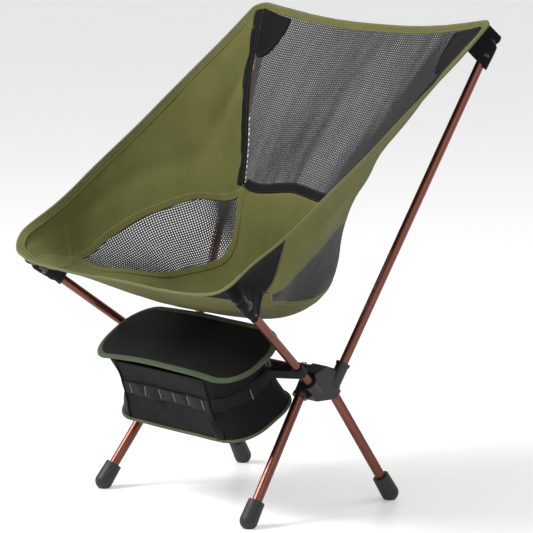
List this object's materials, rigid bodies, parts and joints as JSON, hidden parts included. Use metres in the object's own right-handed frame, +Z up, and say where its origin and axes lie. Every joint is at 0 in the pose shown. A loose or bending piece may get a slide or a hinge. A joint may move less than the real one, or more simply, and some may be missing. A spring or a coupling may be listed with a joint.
{
  "type": "ultralight backpacking chair",
  "caption": "Low folding camp chair with a shock-corded pole frame, a hanging fabric and netting seat, and a storage bag slung under the seat.",
  "frame": {"origin": "on the ground, under the middle of the chair's bounding box", "axes": "+Z up, the sitter faces -Y, +X is to the right seen from the front"},
  "size_m": [0.4914, 0.4795, 0.664],
  "materials": {
    "anodised_tube": "bronze anodised, satin",
    "ferrule": "plain drawn",
    "shock_cord": "braided elastic cord",
    "foot_rubber": "matte",
    "rivet_steel": "blackened",
    "moulded_nylon": "fine texture",
    "seat_fabric": "olive ripstop polyester",
    "netting": "open polyester netting",
    "black_fabric": "dense woven polyester",
    "bag_fabric": "coated woven polyester"
  },
  "bodies": {
    "hub_frame": {"hub_left": "moulded_nylon", "hub_right": "moulded_nylon", "cross_tube": "anodised_tube", "hub_rivets": "rivet_steel", "bag_front": "bag_fabric", "bag_floor": "bag_fabric", "bag_back": "bag_fabric", "bag_end_left": "bag_fabric", "bag_end_right": "bag_fabric", "bag_strap_left": "bag_fabric", "bag_strap_right": "bag_fabric"},
    "front_left_leg": {"leg_front_left": "anodised_tube", "foot_cap_front_left": "foot_rubber", "leg_cord_front_left": "shock_cord"},
    "rear_left_leg": {"leg_rear_left": "anodised_tube", "foot_cap_rear_left": "foot_rubber", "leg_cord_rear_left": "shock_cord"},
    "front_left_arm": {"arm_front_left": "anodised_tube", "tip_plug_front_left": "moulded_nylon", "arm_cord_front_left": "shock_cord"},
    "back_left_arm_lower": {"arm_back_lower_left": "anodised_tube", "ferrule_left": "ferrule", "arm_cord_back_left": "shock_cord"},
    "back_left_arm_upper": {"arm_back_upper_left": "anodised_tube", "tip_plug_back_left": "moulded_nylon"},
    "front_right_leg": {"leg_front_right": "anodised_tube", "foot_cap_front_right": "foot_rubber", "leg_cord_front_right": "shock_cord"},
    "rear_right_leg": {"leg_rear_right": "anodised_tube", "foot_cap_rear_right": "foot_rubber", "leg_cord_rear_right": "shock_cord"},
    "front_right_arm": {"arm_front_right": "anodised_tube", "tip_plug_front_right": "moulded_nylon", "arm_cord_front_right": "shock_cord"},
    "back_right_arm_lower": {"arm_back_lower_right": "anodised_tube", "ferrule_right": "ferrule", "arm_cord_back_right": "shock_cord"},
    "back_right_arm_upper": {"arm_back_upper_right": "anodised_tube", "tip_plug_back_right": "moulded_nylon"},
    "seat": {"centre_panel": "seat_fabric", "back_netting": "netting", "netting_tape_bottom": "black_fabric", "edge_tape_front": "seat_fabric", "edge_tape_top": "seat_fabric", "wing_left": "seat_fabric", "wing_right": "seat_fabric", "side_netting_left": "netting", "side_netting_right": "netting", "netting_tape_left": "black_fabric", "netting_tape_right": "black_fabric", "edge_tape_side_left": "seat_fabric", "edge_tape_side_right": "seat_fabric", "corner_patch_left": "black_fabric", "corner_patch_right": "black_fabric", "pocket_front_left": "black_fabric", "pocket_front_right": "black_fabric", "pocket_top_left": "black_fabric", "pocket_top_right": "black_fabric"},
    "bag_lid": {"bag_lid": "bag_fabric"}
  },
  "joints": [
    {"name": "front_left_leg_slide", "type": "slide", "parent": "hub_frame", "child": "front_left_leg", "axis": [-0.1008, -0.5725, -0.8137], "range_m": [0, 0.03], "stiffness_N_per_m": 150, "springref_m": -0.1},
    {"name": "rear_left_leg_slide", "type": "slide", "parent": "hub_frame", "child": "rear_left_leg", "axis": [-0.1118, 0.5099, -0.8529], "range_m": [0, 0.03], "stiffness_N_per_m": 150, "springref_m": -0.1},
    {"name": "front_left_arm_slide", "type": "slide", "parent": "hub_frame", "child": "front_left_arm", "axis": [-0.2645, -0.7522, 0.6035], "range_m": [0, 0.03], "stiffness_N_per_m": 150, "springref_m": -0.1, "deforming": ["pocket_front_left"]},
    {"name": "back_left_arm_lower_slide", "type": "slide", "parent": "hub_frame", "child": "back_left_arm_lower", "axis": [-0.156, 0.4148, 0.8965], "range_m": [0, 0.03], "stiffness_N_per_m": 150, "springref_m": -0.1, "deforming": ["pocket_top_left"]},
    {"name": "back_left_arm_upper_slide", "type": "slide", "parent": "back_left_arm_lower", "child": "back_left_arm_upper", "axis": [-0.156, 0.4148, 0.8965], "range_m": [0, 0.035], "stiffness_N_per_m": 150, "springref_m": -0.1, "deforming": ["pocket_top_left"]},
    {"name": "front_right_leg_slide", "type": "slide", "parent": "hub_frame", "child": "front_right_leg", "axis": [0.1008, -0.5725, -0.8137], "range_m": [0, 0.03], "stiffness_N_per_m": 150, "springref_m": -0.1},
    {"name": "rear_right_leg_slide", "type": "slide", "parent": "hub_frame", "child": "rear_right_leg", "axis": [0.1118, 0.5099, -0.8529], "range_m": [0, 0.03], "stiffness_N_per_m": 150, "springref_m": -0.1},
    {"name": "front_right_arm_slide", "type": "slide", "parent": "hub_frame", "child": "front_right_arm", "axis": [0.2645, -0.7522, 0.6035], "range_m": [0, 0.03], "stiffness_N_per_m": 150, "springref_m": -0.1, "deforming": ["pocket_front_right"]},
    {"name": "back_right_arm_lower_slide", "type": "slide", "parent": "hub_frame", "child": "back_right_arm_lower", "axis": [0.156, 0.4148, 0.8965], "range_m": [0, 0.03], "stiffness_N_per_m": 150, "springref_m": -0.1, "deforming": ["pocket_top_right"]},
    {"name": "back_right_arm_upper_slide", "type": "slide", "parent": "back_right_arm_lower", "child": "back_right_arm_upper", "axis": [0.156, 0.4148, 0.8965], "range_m": [0, 0.035], "stiffness_N_per_m": 150, "springref_m": -0.1, "deforming": ["pocket_top_right"]},
    {"name": "seat_lift", "type": "slide", "parent": "hub_frame", "child": "seat", "axis": [0, 0, 1], "range_m": [0, 0.4], "deforming": ["pocket_front_left", "pocket_front_right", "pocket_top_left", "pocket_top_right"]},
    {"name": "bag_lid_hinge", "type": "hinge", "parent": "hub_frame", "child": "bag_lid", "pos_m": [0, -0.0684, 0.254], "axis": [-1, 0, 0], "range_deg": [0, 40]}
  ]
}
